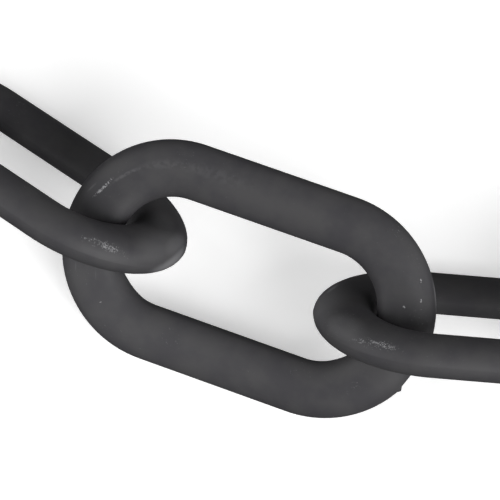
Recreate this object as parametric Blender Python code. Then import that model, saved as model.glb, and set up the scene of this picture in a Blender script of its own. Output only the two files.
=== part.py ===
"""One metre of plastic barrier chain, laid taut in a curve on a floor.

Every link is its own solid. Links hook through each other and lean to the left and to the right in
turn, each resting on one of its straight sides. Metres, +Z up. The origin is on the floor, under the
middle of the chain's box. The middle link runs along X, and the chain's ends lie towards +Y.
"""

import math

import bmesh
import bpy
from mathutils import Matrix, Vector

# One link is an oval ring with two straight sides, measured to the middle of its plastic.
HALF_STRAIGHT = 0.0109
END_RADIUS = 0.0117
# The section of the plastic: wide in the plane of the link, flatter across it.
PLASTIC_WIDTH = 0.0080
PLASTIC_THICKNESS = 0.0056

# The chain: how many links, how far each one leans from the floor, and the gap where two links touch.
# Two links that turn from each other sit a little closer, or their ends would bite. Each link also sits
# a little off the line of the chain, to the side where its lower bar is.
LINK_COUNT = 27
LEAN = math.radians(40)
TOUCH_GAP = 0.0004
SLACK_PER_RADIAN = 0.0005
SIDE_STEP = 0.0004

# The run of the chain: the turn from one link to the next peaks right of the middle and fades both ways.
SHARPEST_TURN = math.radians(17.7)
SHARPEST_JOINT = 15.6
FADE_IN_JOINTS = 5.0

# How finely the round shapes are cut into flat faces.
SECTION_SIDES = 12
STEPS_PER_END = 8

PLASTIC_COLOUR = (0.045, 0.045, 0.047, 1.0)
PLASTIC_ROUGHNESS = 0.42


def clear_scene():
    for old in list(bpy.data.objects):
        bpy.data.objects.remove(old, do_unlink=True)


def plastic_material():
    material = bpy.data.materials.new("chain_plastic")
    material.use_nodes = True
    shader = material.node_tree.nodes["Principled BSDF"]
    shader.inputs["Base Color"].default_value = PLASTIC_COLOUR
    shader.inputs["Roughness"].default_value = PLASTIC_ROUGHNESS
    shader.inputs["Metallic"].default_value = 0.0
    material.diffuse_color = PLASTIC_COLOUR
    return material


def section_points():
    """The plastic's section as (outwards, across) offsets.

    It is turned so that one flat face of a leaning link lies level, facing the floor.
    """
    half_width, half_thickness = PLASTIC_WIDTH / 2, PLASTIC_THICKNESS / 2
    floor_face = math.atan2(-half_thickness * math.cos(LEAN), half_width * math.sin(LEAN))
    step = 2 * math.pi / SECTION_SIDES
    points = []
    for side in range(SECTION_SIDES):
        angle = floor_face + (side + 0.5) * step
        points.append((half_width * math.cos(angle), half_thickness * math.sin(angle)))
    return points


def centre_height():
    """How high the middle of a leaning link is when its lower side rests on the floor."""
    below_bar = max(out * math.sin(LEAN) - across * math.cos(LEAN) for out, across in section_points())
    return END_RADIUS * math.sin(LEAN) + below_bar


def added(geometry, kind):
    return [item for item in geometry if isinstance(item, kind)]


def swept_end(mesh, edges, centre_x):
    """Sweeps the section half a turn about one end's centre and returns its last edges."""
    swept = bmesh.ops.spin(
        mesh,
        geom=edges,
        cent=(centre_x, 0, 0),
        axis=(0, 0, 1),
        angle=math.pi,
        steps=STEPS_PER_END,
    )
    return added(swept["geom_last"], bmesh.types.BMEdge)


def straight_side(mesh, edges, length):
    """Draws the section along X and returns its last edges."""
    drawn = bmesh.ops.extrude_edge_only(mesh, edges=edges)["geom"]
    bmesh.ops.translate(mesh, verts=added(drawn, bmesh.types.BMVert), vec=(length, 0, 0))
    return added(drawn, bmesh.types.BMEdge)


def link_mesh(material):
    """One link flat in its own XY plane, long along X: section, end, side, end, side."""
    mesh = bmesh.new()
    corners = [
        mesh.verts.new((HALF_STRAIGHT, -END_RADIUS - out, across)) for out, across in section_points()
    ]
    edges = [
        mesh.edges.new((corner, corners[(index + 1) % SECTION_SIDES]))
        for index, corner in enumerate(corners)
    ]
    edges = swept_end(mesh, edges, HALF_STRAIGHT)
    edges = straight_side(mesh, edges, -2 * HALF_STRAIGHT)
    edges = swept_end(mesh, edges, -HALF_STRAIGHT)
    straight_side(mesh, edges, 2 * HALF_STRAIGHT)
    bmesh.ops.remove_doubles(mesh, verts=mesh.verts, dist=1e-6)
    bmesh.ops.recalc_face_normals(mesh, faces=mesh.faces)
    data = bpy.data.meshes.new("chain_link")
    mesh.to_mesh(data)
    mesh.free()
    data.materials.append(material)
    data.shade_smooth()
    return data


def turn_at(joint):
    """The change of heading between link number joint and the next one."""
    return SHARPEST_TURN * math.exp(-(((joint - SHARPEST_JOINT) / FADE_IN_JOINTS) ** 2) / 2)


def headings():
    """Each link's direction in plan, with the middle link along +X."""
    found = [0.0]
    for joint in range(1, LINK_COUNT):
        found.append(found[-1] + turn_at(joint))
    middle = found[LINK_COUNT // 2]
    return [heading - middle for heading in found]


def hook_reach(turn):
    """From a link's middle to the spot where it touches the next link, at the inside of its end."""
    taut = HALF_STRAIGHT + END_RADIUS - (PLASTIC_WIDTH + TOUCH_GAP) / 2
    return taut - SLACK_PER_RADIAN * abs(turn)


def link_places():
    """Each link's (position, heading, lean), hooked end to end from the first link."""
    places = []
    position = Vector((0, 0, centre_height()))
    along_before = Vector()
    for index, heading in enumerate(headings()):
        along = Vector((math.cos(heading), math.sin(heading), 0))
        if index:
            position = position + (along_before + along) * hook_reach(turn_at(index))
        leans_left = index % 2 == 1
        left = Vector((-along.y, along.x, 0))
        off_line = left * (-SIDE_STEP if leans_left else SIDE_STEP)
        places.append((position + off_line, heading, LEAN if leans_left else -LEAN))
        along_before = along
    return places


def make_link(number, mesh, chain, place):
    position, heading, lean = place
    link = bpy.data.objects.new(f"link_{number:02d}", mesh)
    bpy.context.scene.collection.objects.link(link)
    link.parent = chain
    turned = Matrix.Rotation(heading, 4, "Z") @ Matrix.Rotation(lean, 4, "X")
    link.matrix_local = Matrix.Translation(position) @ turned
    return link


def centre_over_origin(chain, links):
    """Moves the whole chain level, so that the middle of its box is over the origin."""
    bpy.context.view_layer.update()
    points = [link.matrix_world @ vertex.co for link in links for vertex in link.data.vertices]
    for axis in (0, 1):
        values = [point[axis] for point in points]
        chain.location[axis] = -(min(values) + max(values)) / 2


def main():
    clear_scene()
    chain = bpy.data.objects.new("chain", None)
    bpy.context.scene.collection.objects.link(chain)
    mesh = link_mesh(plastic_material())
    links = [
        make_link(number, mesh, chain, place) for number, place in enumerate(link_places(), start=1)
    ]
    centre_over_origin(chain, links)


main()
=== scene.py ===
# Looks of one metre of dark grey plastic barrier chain, laid out on a pale floor.
# Every link is dressed with a fine moulded surface that takes its place from the link's own solid.
import math

import bpy
import numpy as np
from mathutils import Matrix, Vector


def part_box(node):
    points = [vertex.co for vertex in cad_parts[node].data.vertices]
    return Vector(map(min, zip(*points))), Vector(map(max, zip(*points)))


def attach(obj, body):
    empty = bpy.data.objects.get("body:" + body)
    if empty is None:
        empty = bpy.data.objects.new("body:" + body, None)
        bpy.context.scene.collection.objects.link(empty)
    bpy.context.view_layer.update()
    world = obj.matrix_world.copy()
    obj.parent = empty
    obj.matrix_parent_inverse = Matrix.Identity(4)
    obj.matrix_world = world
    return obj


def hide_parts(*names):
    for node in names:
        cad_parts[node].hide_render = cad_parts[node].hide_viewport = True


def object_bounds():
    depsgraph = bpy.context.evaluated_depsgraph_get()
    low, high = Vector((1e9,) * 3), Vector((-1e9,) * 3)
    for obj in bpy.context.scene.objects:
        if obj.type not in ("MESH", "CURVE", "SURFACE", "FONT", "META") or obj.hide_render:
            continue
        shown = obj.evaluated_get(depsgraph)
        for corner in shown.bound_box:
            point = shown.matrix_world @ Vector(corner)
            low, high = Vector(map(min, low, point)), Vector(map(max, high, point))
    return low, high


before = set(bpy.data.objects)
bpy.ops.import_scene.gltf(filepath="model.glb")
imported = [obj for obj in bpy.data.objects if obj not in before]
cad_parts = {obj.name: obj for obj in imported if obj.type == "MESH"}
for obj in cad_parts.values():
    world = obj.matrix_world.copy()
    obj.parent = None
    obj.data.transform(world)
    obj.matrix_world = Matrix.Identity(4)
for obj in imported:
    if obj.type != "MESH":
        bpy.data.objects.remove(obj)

CAD_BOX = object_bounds()
MM = 0.001

# One link, kept close to its solid: half of its straight side, the radius of its ends to the middle of
# the plastic, and half of the width and thickness of its oval section.
HALF_STRAIGHT = 10.9 * MM
END_RADIUS = 11.7 * MM
HALF_WIDTH = 3.93 * MM
HALF_THICKNESS = 2.745 * MM
OUTER_RADIUS = END_RADIUS + HALF_WIDTH

# The ends are fuller on the inside, which closes part of the gap that the solids keep between hooked
# links. They are fullest at the two inner corners of the section, which stand out by these shares
# inwards and off the link's plane. The lower corner grows by up to so many times as the end turns away
# from its tip, and fades out at the straight sides.
FULLER_INSIDE = 0.15 * MM
FULLER_CORNER = 0.38 * MM
CORNER_INWARD = 0.6
CORNER_OFF_PLANE = 0.8
LOWER_GROWTH = 10.0

# How finely a link is cut: steps along each end and each side, and round its section, with extra cuts
# beside the seams, in degrees.
END_STEPS = 64
SIDE_STEPS = 16
SECTION_STEPS = 36
SEAM_CUTS = (-5.0, -2.5, 2.5, 5.0)

# The mould's seam, which runs round the outside and the inside of a link.
SEAM_HEIGHT = 0.035 * MM
SEAM_HALF_ANGLE = math.radians(3.2)

# The scar where a link was cut from its feed, on the end whose cuts are centred past this x: a flat that
# clips the end, in the directions whose cosine to its own is over this, and a nub beside it, with extra
# cuts at these shares of its half length. The scar shows on this link, and on each link that takes its
# looks.
SCARRED_LINK = "link_14"
SCARRED_FROM_X = 0.99 * HALF_STRAIGHT
GATE_ANGLE = math.radians(-19)
GATE_DEPTH = 0.26 * MM
GATE_COSINE = 0.9
NUB_ANGLE = math.radians(-28.3)
NUB_HEIGHT = 0.30 * MM
NUB_HALF_LENGTH = 0.55 * MM
NUB_HALF_ROUND = math.radians(24)
NUB_CUTS = (-1.0, -0.7, -0.4, 0.0, 0.4, 0.7, 1.0)

# Corners of a solid that agree to so many decimals of a metre are one corner.
CORNER_DECIMALS = 6

# The photograph's camera: its place from the middle of the chain's middle link, the directions behind
# it and up from it, its focal length in pixels of the photograph, and how near and how far it sees, in
# metres.
MIDDLE_LINK = "link_14"
CAMERA_FROM_MIDDLE = Vector((40.71, -160.43, 293.42)) * MM
CAMERA_BACK = Vector((0.1236, -0.4861, 0.8651))
CAMERA_UP = Vector((-0.3299, 0.8021, 0.4978))
FOCAL_PIXELS = 2460
PHOTO_PIXELS = 500
SENSOR_MM = 36.0
NEAREST_SEEN = 0.01
FARTHEST_SEEN = 100.0

# Colours, as linear light.
PLASTIC_DARK = (0.041, 0.040, 0.044, 1)
PLASTIC_LIGHT = (0.052, 0.051, 0.053, 1)
# The pale colour of worn plastic, which also paints the highlights on the rims and the painted light on
# the paler places.
WEAR_AND_PAINTED_LIGHT_COLOUR = (0.30, 0.30, 0.31, 1)
FLOOR_COLOUR = (0.97, 0.97, 0.97, 1)
SKY_COLOUR = (1.0, 1.0, 1.0, 1)

# Noise patterns: scale in repeats to the metre, detail and roughness.
MOTTLING = (220.0, 3.0, 0.55)
GRAIN = (2600.0, 3.0, 0.6)
WEAR = (160.0, 2.0, 0.5)
STROKES = (5200.0, 2.0, 0.6)
BLOTCHES = (1300.0, 2.0, 0.5)
FIBRES = (900.0, 4.0, 0.6)

# Where each pattern goes from nothing to full.
MOTTLING_RANGE = (0.3, 0.7)
WEAR_RANGE = (0.50, 0.70)
STROKE_RANGE = (0.70, 0.80)
BLOTCH_RANGE = (0.36, 0.62)

# Bumps: depth, then strength.
GRAIN_BUMP = (0.02 * MM, 0.5)
MOTTLING_BUMP = (0.12 * MM, 0.35)
PALER_BUMP = (0.02 * MM, 0.6)
FIBRE_BUMP = (0.01 * MM, 0.15)

# Gloss: the roughness of the plastic and of the paper from least to most, how much rougher the plastic
# is where it is worn and where it is made paler with painted light, and the specular level of both.
SATIN = (0.50, 0.62)
PAPER_ROUGHNESS = (0.75, 0.9)
PALER_ROUGHER = 0.25
SPECULAR_LEVEL = 0.20

# Wear is made of short strokes, so many times as long as they are wide, that cross at these turns. The
# light wear, in patches all over, is so strong. Stronger wear lets more of the strokes show, by this
# much, and whitens them more, from the first of these amounts to the second.
STROKE_LENGTH = 3.0
STROKE_TURNS = (math.radians(38), math.radians(-37))
LIGHT_WEAR = 0.22
STROKES_BY_WEAR = 0.22
WHITE_BY_WEAR = (0.1, 0.9)

# Rubbed patches of the three middle links, as ovals in each link's own frame: centre in millimetres,
# direction of the long axis, half sizes in millimetres, and how strong the wear is.
RUBS = {
    "link_13": (
        ((20.2, -11.4, 1.7), (0.79, 0.61, -0.06), (6.8, 1.0, 1.4), 0.62),
        ((20.9, -11.0, 1.6), (0.79, 0.61, -0.06), (3.4, 0.9, 1.2), 0.80),
    ),
    "link_14": (
        ((-22.45, 5.7, 2.6), (0.48, 0.88, 0.0), (3.2, 0.38, 0.8), 1.1),
        ((22.7, 8.1, 2.0), (0.4, -0.9, 0.0), (0.42, 0.24, 0.8), 1.2),
        ((23.6, 5.6, 2.2), (0.2, -0.98, 0.0), (0.5, 0.20, 0.8), 1.2),
        ((21.7, 4.1, 2.8), (0.9, -0.4, 0.0), (0.42, 0.24, 0.8), 1.2),
        ((-18.0, -9.4, 2.8), (0.8, 0.6, 0.0), (0.5, 0.20, 0.8), 0.9),
    ),
    "link_15": (
        ((-18.7, -12.8, 1.5), (0.88, -0.48, 0.06), (7.0, 1.0, 1.4), 0.64),
        ((-17.3, -13.5, 1.6), (0.88, -0.48, 0.06), (3.4, 0.9, 1.2), 0.80),
    ),
}

# Paler places of the same links, given in the same way, and by how much they are paler. A few are faint
# scratches. The rest is painted light: painted highlights on thin rims of the round ends, which are
# partly worn seams too, painted light that lightens the faces of the round ends, partly where the next
# link shades them, and a lighter tone on the sides that lie towards the camera and the lamps.
PAINTED_LIGHT_AND_PALE_MARKS = {
    "link_13": (
        # A thin rim at the tip: partly a scuffed seam, partly a painted highlight.
        ((26.2, -0.4, 0.2), (0.0, 0.97, 0.24), (7.0, 1.5, 1.35), 0.34),
        # Painted light on the face of the round end, lightening it where it lies in shade, partly the
        # shade of the next link.
        ((24.0, -1.5, 2.3), (0.1, 0.98, 0.1), (8.0, 3.6, 2.5), 0.14),
        ((24.9, 0.9, 1.9), (0.06, 0.99, 0.1), (6.5, 2.2, 1.7), 0.22),
        ((21.4, 3.4, 2.6), (0.5, -0.86, 0.0), (5.0, 2.6, 1.6), 0.13),
        # A lighter tone on the side that lies towards the camera and the lamps: painted light.
        ((5.0, -12.0, 1.5), (1.0, 0.0, 0.0), (40.0, 6.0, 6.0), 0.03),
    ),
    "link_14": (
        # A thin rim at the +X end: partly a worn seam, partly a painted highlight.
        ((25.2, 6.4, 0.1), (-0.4, 0.9, 0.0), (3.5, 0.6, 0.6), 0.30),
        # Faint scratches: wear.
        ((-24.05, 5.25, 2.2), (0.48, 0.88, 0.0), (1.2, 0.22, 0.5), 0.12),
        ((-22.8, -5.9, 2.5), (0.28, -0.96, 0.0), (1.2, 0.22, 0.6), 0.10),
        ((-19.75, -6.0, 2.75), (0.3, -0.95, 0.0), (1.2, 0.18, 0.6), 0.10),
        # A lighter tone on the lower left of the link, towards the camera and the lamps: painted light.
        ((-16.0, -9.0, 1.5), (1.0, 0.0, 0.0), (34.0, 13.0, 8.0), 0.045),
    ),
    "link_15": (
        # A thin rim at the tip: partly a worn seam, partly a painted highlight.
        ((-24.1, 3.9, 2.35), (0.45, 0.89, 0.08), (2.8, 0.8, 0.5), 0.40),
        # Painted light on the face of the round end, lightening it where it lies in shade, partly the
        # shade of the next link.
        ((-24.6, 0.6, 2.0), (0.1, 0.98, 0.1), (9.0, 4.0, 2.8), 0.16),
        ((-22.8, -8.4, 1.9), (0.62, -0.79, 0.0), (6.0, 3.0, 2.2), 0.13),
        # A lighter tone on the side that lies towards the camera and the lamps: painted light.
        ((0.0, -12.0, 1.5), (1.0, 0.0, 0.0), (40.0, 6.0, 6.0), 0.03),
    ),
}

# Faint broken lines that follow the ring, given in the same way, but in places counted round the ring:
# how far along it from the middle of its side towards +Y, how far off the link's middle line, and how
# far off the link's plane.
FAINT_LINES = {
    "link_14": (
        ((-20.2, 12.5, 2.7), (1.0, 0.0, 0.0), (3.8, 0.34, 0.8), 0.13),
        ((-15.0, 12.5, 2.7), (1.0, 0.0, 0.0), (6.0, 0.9, 0.8), 0.055),
        ((-8.5, 12.7, 2.7), (1.0, 0.0, 0.0), (9.0, 1.4, 0.8), 0.042),
    ),
}

# An oval is full up to this share of its half sizes, and fades out to its rim.
OVAL_CORE = 0.2
OVAL_RIM = 1.0

# Where a Mix node has its two colours among its inputs, and the mixed colour among its outputs.
MIX_FIRST = 6
MIX_SECOND = 7
MIX_RESULT = 2

# Lights, at this distance in metres and placed from the camera's axis: how far off it, turned how far
# round it from the picture's right, in degrees, then side in metres and power in watts.
LIGHT_DISTANCE = 2.6
LIGHTS = {
    "right_low_box": (42, 320, 1.6, 79),
    "left_box": (60, 180, 1.6, 34),
    "right_strip": (76, 0, 1.6, 32),
    "left_strip": (76, 150, 1.6, 25),
}
SKY_STRENGTH = 0.09

# The floor: half its side in metres, and how strongly its paper glows.
FLOOR_HALF_SIDE = 15.0
FLOOR_GLOW = 0.42


def corners_of(node):
    """The node's corners, each counted once."""
    points = np.array([vertex.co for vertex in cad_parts[node].data.vertices])
    return np.unique(np.round(points, CORNER_DECIMALS), axis=0)


def link_names():
    return sorted(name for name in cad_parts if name.startswith("link_"))


def link_frames(names):
    """Each link's place and turn: X along it towards the next link, Y across it, Z off its plane."""
    middles = [corners_of(name).mean(axis=0) for name in names]
    frames = {}
    for index, name in enumerate(names):
        spread = corners_of(name) - middles[index]
        axes = np.linalg.eigh(spread.T @ spread)[1]
        along, off_plane = axes[:, 2], axes[:, 0]
        before, after = max(index - 1, 0), min(index + 1, len(names) - 1)
        if along @ (middles[after] - middles[before]) < 0:
            along = -along
        if off_plane[2] < 0:
            off_plane = -off_plane
        turn = Matrix(np.column_stack([along, np.cross(off_plane, along), off_plane]).tolist())
        frames[name] = Matrix.Translation(Vector(middles[index])) @ turn.to_4x4()
    return frames


def end_angles(start, extra=()):
    even = [start + math.pi * step / END_STEPS for step in range(END_STEPS)]
    return sorted(even + list(extra))


def ring_stations():
    """The ring's cuts as (x of the cut's centre, angle of its outward side), once round."""
    nub = [NUB_ANGLE + share * NUB_HALF_LENGTH / OUTER_RADIUS for share in NUB_CUTS]
    steps = [HALF_STRAIGHT * (1 - 2 * step / SIDE_STEPS) for step in range(SIDE_STEPS)]
    found = [(HALF_STRAIGHT, angle) for angle in end_angles(-math.pi / 2, nub)]
    found += [(x, math.pi / 2) for x in steps]
    found += [(-HALF_STRAIGHT, angle) for angle in end_angles(math.pi / 2)]
    found += [(-x, 3 * math.pi / 2) for x in steps]
    return np.array(found)


def section_angles():
    """The angles of the section's points: 0 on the outside, half a turn on the inside."""
    even = [2 * math.pi * step / SECTION_STEPS for step in range(SECTION_STEPS)]
    seams = [middle + math.radians(cut) for middle in (0.0, math.pi) for cut in SEAM_CUTS]
    return np.array(sorted(angle % (2 * math.pi) for angle in even + seams))


def smooth_bump(distance):
    """1 at distance 0, falling smoothly to 0 at distance 1."""
    inside = np.clip(1 - np.abs(distance), 0, 1)
    return inside * inside * (3 - 2 * inside)


def wrapped(angle):
    """The angle between minus and plus half a turn."""
    return (angle + math.pi) % (2 * math.pi) - math.pi


def gate_scar(centre_x, angle, section, reach):
    """The outward reach with the scar in it: clipped by the flat, and raised by the nub."""
    on_end = centre_x > SCARRED_FROM_X
    to_gate = np.cos(wrapped(angle - GATE_ANGLE))
    flat = (OUTER_RADIUS - GATE_DEPTH) / np.maximum(to_gate, GATE_COSINE)
    reach = np.where(on_end, np.minimum(reach, flat), reach)
    along_nub = wrapped(angle - NUB_ANGLE) * OUTER_RADIUS / NUB_HALF_LENGTH
    nub = smooth_bump(along_nub) * smooth_bump(wrapped(section) / NUB_HALF_ROUND)
    return reach + np.where(on_end, NUB_HEIGHT * nub, 0)


def seam_relief(section):
    """Outwards along the outer seam, and inwards along the inner one."""
    outer = smooth_bump(wrapped(section) / SEAM_HALF_ANGLE)
    return SEAM_HEIGHT * (outer - smooth_bump(wrapped(section - math.pi) / SEAM_HALF_ANGLE))


def fuller_corners(angle, section, upward):
    """How far the section's inner corners stand out, before that fades towards the straight sides."""
    growth = np.where(upward < 0, 1 + LOWER_GROWTH * np.sin(angle) ** 4, 1)
    return FULLER_CORNER * growth * np.maximum(-np.sin(2 * section) * upward, 0) ** 2


def link_points(scarred):
    """The moulded link's surface as an array: cut along the ring, point round the section, x y z."""
    stations = ring_stations()
    centre_x, angle = stations[:, :1], stations[:, 1:]
    section = section_angles()[None, :]
    inside = ((1 - np.cos(section)) / 2) ** 2
    upward = np.sign(np.sin(section))
    corner = fuller_corners(angle, section, upward)
    on_end = np.cos(angle) ** 2
    reach = END_RADIUS + HALF_WIDTH * np.cos(section) + seam_relief(section)
    reach = reach - (FULLER_INSIDE * inside + CORNER_INWARD * corner) * on_end
    if scarred:
        reach = gate_scar(centre_x, angle, section, reach)
    across = HALF_THICKNESS * np.sin(section) + CORNER_OFF_PLANE * corner * upward * on_end
    points = [centre_x + reach * np.cos(angle), reach * np.sin(angle), across]
    return np.stack(points, axis=-1)


def link_faces(cuts, sides):
    faces = []
    for cut in range(cuts):
        this, following = cut * sides, (cut + 1) % cuts * sides
        for side in range(sides):
            beside = (side + 1) % sides
            faces.append((this + side, following + side, following + beside, this + beside))
    return faces


def kept_inside(points):
    """The points, moved as one so that they stay in the solids' box."""
    low, high = (np.array(corner) for corner in CAD_BOX)
    raised = np.maximum(low - points.min(axis=0), 0)
    lowered = np.maximum(points.max(axis=0) - high, 0)
    return points + raised - lowered


def moulded_link(name, points, faces, place):
    """One link's mesh where it lies. Each point keeps its place in the link's own frame."""
    turn, middle = np.array(place.to_3x3()), np.array(place.translation)
    mesh = bpy.data.meshes.new(name)
    mesh.from_pydata(kept_inside(points @ turn.T + middle).tolist(), [], faces)
    mould = mesh.attributes.new("mould", "FLOAT_VECTOR", "POINT")
    mould.data.foreach_set("vector", points.astype(np.float32).ravel())
    mesh.shade_smooth()
    mesh.update()
    return mesh


class Nodes:
    """Short ways to add and wire shader nodes."""

    def __init__(self, tree):
        self.tree = tree

    def new(self, kind, **settings):
        node = self.tree.nodes.new(kind)
        for name, value in settings.items():
            setattr(node, name, value)
        return node

    def put(self, value, socket):
        """Feeds a socket from another socket, or sets it to a plain value."""
        if isinstance(value, bpy.types.NodeSocket):
            self.tree.links.new(value, socket)
        else:
            socket.default_value = value

    def math(self, operation, *values):
        node = self.new("ShaderNodeMath", operation=operation)
        for index, value in enumerate(values):
            self.put(value, node.inputs[index])
        return node.outputs[0]

    def most(self, value, *others):
        """The greatest of the values."""
        for other in others:
            value = self.math("MAXIMUM", value, other)
        return value

    def noise(self, place, scale, detail, roughness):
        node = self.new("ShaderNodeTexNoise")
        self.put(place, node.inputs["Vector"])
        node.inputs["Scale"].default_value = scale
        node.inputs["Detail"].default_value = detail
        node.inputs["Roughness"].default_value = roughness
        return node.outputs["Fac"]

    def ramp(self, value, low, high):
        """0 where the value is at low and 1 where it is at high, smoothly between."""
        node = self.new("ShaderNodeMapRange", interpolation_type="SMOOTHSTEP")
        self.put(value, node.inputs["Value"])
        node.inputs["From Min"].default_value = low
        node.inputs["From Max"].default_value = high
        return node.outputs["Result"]

    def spread(self, value, low, high):
        """Maps 0 to 1 onto low to high."""
        node = self.new("ShaderNodeMapRange")
        self.put(value, node.inputs["Value"])
        node.inputs["To Min"].default_value = low
        node.inputs["To Max"].default_value = high
        return node.outputs["Result"]

    def mix(self, share, first, second):
        node = self.new("ShaderNodeMix", data_type="RGBA")
        self.put(share, node.inputs["Factor"])
        self.put(first, node.inputs[MIX_FIRST])
        self.put(second, node.inputs[MIX_SECOND])
        return node.outputs[MIX_RESULT]

    def bump(self, height, distance, strength, under=None):
        node = self.new("ShaderNodeBump")
        self.put(height, node.inputs["Height"])
        node.inputs["Distance"].default_value = distance
        node.inputs["Strength"].default_value = strength
        if under is not None:
            self.put(under, node.inputs["Normal"])
        return node.outputs["Normal"]


def new_material(name):
    material = bpy.data.materials.new(name)
    material.use_nodes = True
    shader = material.node_tree.nodes["Principled BSDF"]
    shader.inputs["Specular IOR Level"].default_value = SPECULAR_LEVEL
    return material, Nodes(material.node_tree), shader


def own_place(nodes, place):
    """The place, moved by a different amount for each link, so that no two links are mottled alike."""
    moved = nodes.new("ShaderNodeVectorMath", operation="ADD")
    nodes.put(place, moved.inputs[0])
    nodes.put(nodes.new("ShaderNodeObjectInfo").outputs["Random"], moved.inputs[1])
    return moved.outputs[0]


def ring_place(nodes, place):
    """The place counted round the ring. It holds on the side towards +Y and on both ends."""
    parts = nodes.new("ShaderNodeSeparateXYZ")
    nodes.put(place, parts.inputs[0])
    x, y, z = parts.outputs
    nearest = nodes.math("MAXIMUM", nodes.math("MINIMUM", x, HALF_STRAIGHT), -HALF_STRAIGHT)
    past = nodes.math("SUBTRACT", x, nearest)
    turned = nodes.math("MULTIPLY", nodes.math("ARCTAN2", past, y), END_RADIUS)
    squares = [nodes.math("MULTIPLY", value, value) for value in (past, y)]
    off_line = nodes.math("SQRT", nodes.math("ADD", *squares))
    joined = nodes.new("ShaderNodeCombineXYZ")
    for value, socket in zip((nodes.math("ADD", nearest, turned), off_line, z), joined.inputs):
        nodes.put(value, socket)
    return joined.outputs[0]


def oval_mask(nodes, place, oval):
    """One oval, full in its middle and fading to its rim."""
    centre, direction, half_sizes, amount = oval
    scaled = nodes.new("ShaderNodeMapping", vector_type="TEXTURE")
    nodes.put(place, scaled.inputs["Vector"])
    scaled.inputs["Location"].default_value = Vector(centre) * MM
    scaled.inputs["Rotation"].default_value = Vector(direction).to_track_quat("X", "Z").to_euler()
    scaled.inputs["Scale"].default_value = Vector(half_sizes) * MM
    length = nodes.new("ShaderNodeVectorMath", operation="LENGTH")
    nodes.put(scaled.outputs[0], length.inputs[0])
    faded = nodes.ramp(length.outputs["Value"], OVAL_RIM, OVAL_CORE)
    return nodes.math("MULTIPLY", faded, amount)


def strokes(nodes, own, turn):
    """Fine noise, drawn out into short strokes along one direction of the link's plane."""
    drawn_out = nodes.new("ShaderNodeMapping", vector_type="TEXTURE")
    nodes.put(own, drawn_out.inputs["Vector"])
    drawn_out.inputs["Rotation"].default_value = (0, 0, turn)
    drawn_out.inputs["Scale"].default_value = (STROKE_LENGTH, 1, 1)
    return nodes.noise(drawn_out.outputs[0], *STROKES)


def rubbed_strokes(nodes, own, place, rubs):
    """The light wear and the rubbed patches, both made of strokes that cross."""
    light = nodes.ramp(nodes.noise(own, *WEAR), *WEAR_RANGE)
    patches = [oval_mask(nodes, place, rub) for rub in rubs]
    worn = nodes.most(nodes.math("MULTIPLY", light, LIGHT_WEAR), *patches)
    crossed = nodes.most(*(strokes(nodes, own, turn) for turn in STROKE_TURNS))
    raised = nodes.math("ADD", crossed, nodes.math("MULTIPLY", worn, STROKES_BY_WEAR))
    shown = nodes.ramp(raised, *STROKE_RANGE)
    return nodes.math("MULTIPLY", shown, nodes.spread(worn, *WHITE_BY_WEAR))


def broken_lines(nodes, own, place, lines):
    """The faint lines that follow the ring, broken up into blotches."""
    round_ring = ring_place(nodes, place)
    whole = nodes.most(*(oval_mask(nodes, round_ring, line) for line in lines))
    blotches = nodes.ramp(nodes.noise(own, *BLOTCHES), *BLOTCH_RANGE)
    return nodes.math("MULTIPLY", whole, blotches)


def wear_and_painted_light(nodes, own, place, name):
    """How far the plastic is made paler, by the wear and scratches and by the painted highlights and
    painted light of the link of this name.
    """
    marks = [rubbed_strokes(nodes, own, place, RUBS[name])]
    marks += [oval_mask(nodes, place, pale) for pale in PAINTED_LIGHT_AND_PALE_MARKS[name]]
    if name in FAINT_LINES:
        marks.append(broken_lines(nodes, own, place, FAINT_LINES[name]))
    return nodes.most(*marks)


def plastic(name):
    """Dark satin plastic with faint mottling, a fine grain, the wear of the link of this name, and its
    painted highlights and painted light.
    """
    material, nodes, shader = new_material("chain_" + name)
    place = nodes.new("ShaderNodeAttribute", attribute_name="mould").outputs["Vector"]
    own = own_place(nodes, place)
    mottling = nodes.noise(own, *MOTTLING)
    paler_by_wear_and_light = wear_and_painted_light(nodes, own, place, name)
    base = nodes.mix(nodes.ramp(mottling, *MOTTLING_RANGE), PLASTIC_DARK, PLASTIC_LIGHT)
    # The base colour is made paler by wear and by painted light: painted highlights on rims, painted
    # light on faces and sides.
    nodes.put(nodes.mix(paler_by_wear_and_light, base, WEAR_AND_PAINTED_LIGHT_COLOUR), shader.inputs["Base Color"])
    rougher = nodes.math("MULTIPLY", paler_by_wear_and_light, PALER_ROUGHER)
    nodes.put(nodes.math("ADD", nodes.spread(mottling, *SATIN), rougher), shader.inputs["Roughness"])
    fine = nodes.bump(nodes.noise(own, *GRAIN), *GRAIN_BUMP)
    soft = nodes.bump(mottling, *MOTTLING_BUMP, fine)
    nodes.put(nodes.bump(paler_by_wear_and_light, *PALER_BUMP, soft), shader.inputs["Normal"])
    return material


def floor_paper():
    """White paper that glows a little, so that the shadows on it stay light."""
    material, nodes, shader = new_material("floor_paper")
    place = nodes.new("ShaderNodeTexCoord").outputs["Object"]
    fibres = nodes.noise(place, *FIBRES)
    shader.inputs["Base Color"].default_value = FLOOR_COLOUR
    shader.inputs["Emission Color"].default_value = FLOOR_COLOUR
    shader.inputs["Emission Strength"].default_value = FLOOR_GLOW
    nodes.put(nodes.spread(fibres, *PAPER_ROUGHNESS), shader.inputs["Roughness"])
    nodes.put(nodes.bump(fibres, *FIBRE_BUMP), shader.inputs["Normal"])
    return material


def new_object(name, data):
    made = bpy.data.objects.new(name, data)
    bpy.context.scene.collection.objects.link(made)
    return made


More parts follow.
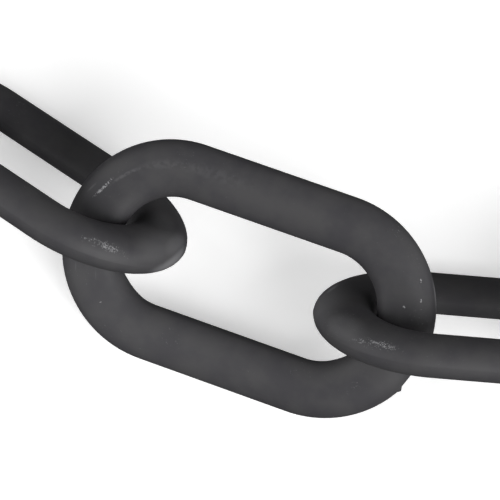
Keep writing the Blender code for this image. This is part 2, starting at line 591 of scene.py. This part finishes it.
def dress_links(frames):
    """Puts a moulded link over each solid link. The looks of the three links with marks take turns."""
    materials = [plastic(name) for name in RUBS]
    surfaces = [link_points(name == SCARRED_LINK) for name in RUBS]
    faces = link_faces(*surfaces[0].shape[:2])
    first = list(frames).index(next(iter(RUBS)))
    for number, (name, place) in enumerate(frames.items()):
        kind = (number - first) % len(materials)
        piece_name = "moulded_" + name
        mesh = moulded_link(piece_name, surfaces[kind].reshape(-1, 3), faces, place)
        mesh.materials.append(materials[kind])
        piece = new_object(piece_name, mesh)
        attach(piece, "root")
        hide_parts(name)


def make_floor():
    """The floor is hidden from the light that the links receive and mirror."""
    mesh = bpy.data.meshes.new("floor")
    low, high = -FLOOR_HALF_SIDE, FLOOR_HALF_SIDE
    corners = [(low, low, 0), (high, low, 0), (high, high, 0), (low, high, 0)]
    mesh.from_pydata(corners, [], [(0, 1, 2, 3)])
    mesh.materials.append(floor_paper())
    floor = new_object("floor", mesh)
    floor.visible_diffuse = False
    floor.visible_glossy = False


def camera_axes():
    """The directions to the picture's right, to its top, and back from it."""
    back = CAMERA_BACK.normalized()
    right = CAMERA_UP.cross(back).normalized()
    return right, back.cross(right), back


def make_light(name, target, setting):
    off_axis, round_axis, side, power = setting
    right, up, back = camera_axes()
    off_axis, round_axis = math.radians(off_axis), math.radians(round_axis)
    sideways = right * math.cos(round_axis) + up * math.sin(round_axis)
    towards = back * math.cos(off_axis) + sideways * math.sin(off_axis)
    light = bpy.data.lights.new(name, "AREA")
    light.shape = "SQUARE"
    light.size = side
    light.energy = power
    lamp = new_object(name, light)
    lamp.location = target + towards * LIGHT_DISTANCE
    lamp.rotation_euler = towards.to_track_quat("Z", "Y").to_euler()
    lamp.visible_camera = False


def make_sky():
    world = bpy.data.worlds.new("sky")
    bpy.context.scene.world = world
    world.use_nodes = True
    background = world.node_tree.nodes["Background"]
    background.inputs["Color"].default_value = SKY_COLOUR
    background.inputs["Strength"].default_value = SKY_STRENGTH


def make_camera(middle):
    camera = bpy.data.cameras.new("photo_camera")
    camera.sensor_width = SENSOR_MM
    camera.lens = SENSOR_MM * FOCAL_PIXELS / PHOTO_PIXELS
    camera.clip_start = NEAREST_SEEN
    camera.clip_end = FARTHEST_SEEN
    holder = new_object("photo_camera", camera)
    turn = Matrix(camera_axes()).transposed()
    holder.matrix_world = Matrix.Translation(middle + CAMERA_FROM_MIDDLE) @ turn.to_4x4()
    bpy.context.scene.camera = holder


def middle_of(node):
    low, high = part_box(node)
    return (Vector(low) + Vector(high)) / 2


def main():
    dress_links(link_frames(link_names()))
    middle = middle_of(MIDDLE_LINK)
    make_floor()
    for name, setting in LIGHTS.items():
        make_light(name, middle, setting)
    make_sky()
    make_camera(middle)
    bpy.context.scene.view_settings.view_transform = "Standard"


main()
